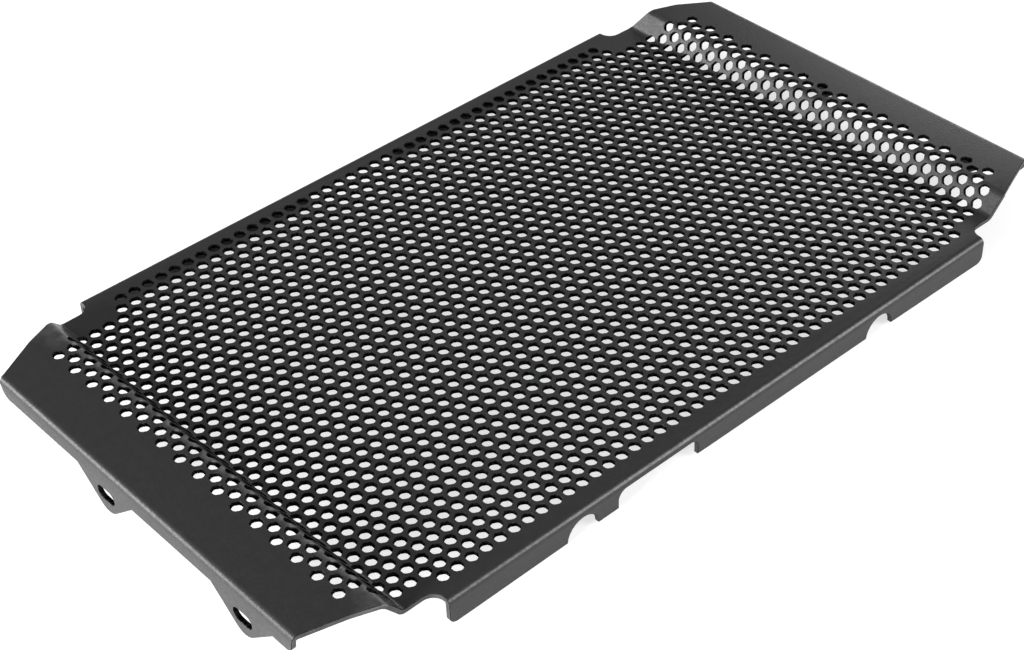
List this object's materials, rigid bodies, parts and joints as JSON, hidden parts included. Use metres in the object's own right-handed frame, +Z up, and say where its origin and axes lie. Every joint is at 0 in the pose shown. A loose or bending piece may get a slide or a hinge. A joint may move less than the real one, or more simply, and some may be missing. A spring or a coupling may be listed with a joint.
{
  "type": "motorcycle radiator guard",
  "caption": "Perforated sheet-metal guard for a motorcycle radiator, with folded side lips and a raised end with slotted lugs at each side.",
  "frame": {"origin": "on the surface that the guard stands on, on its middle line, midway between its two raised ends' outer faces", "axes": "+X along the guard's length towards its shorter raised end, +Y across it towards the inner lugs, +Z up, out of the perforated face"},
  "size_m": [0.3566, 0.2064, 0.0192],
  "materials": {
    "powder_coat": "satin black powder coat on sheet metal"
  },
  "bodies": {
    "root": {"radiator_guard": "powder_coat"}
  },
  "joints": []
}
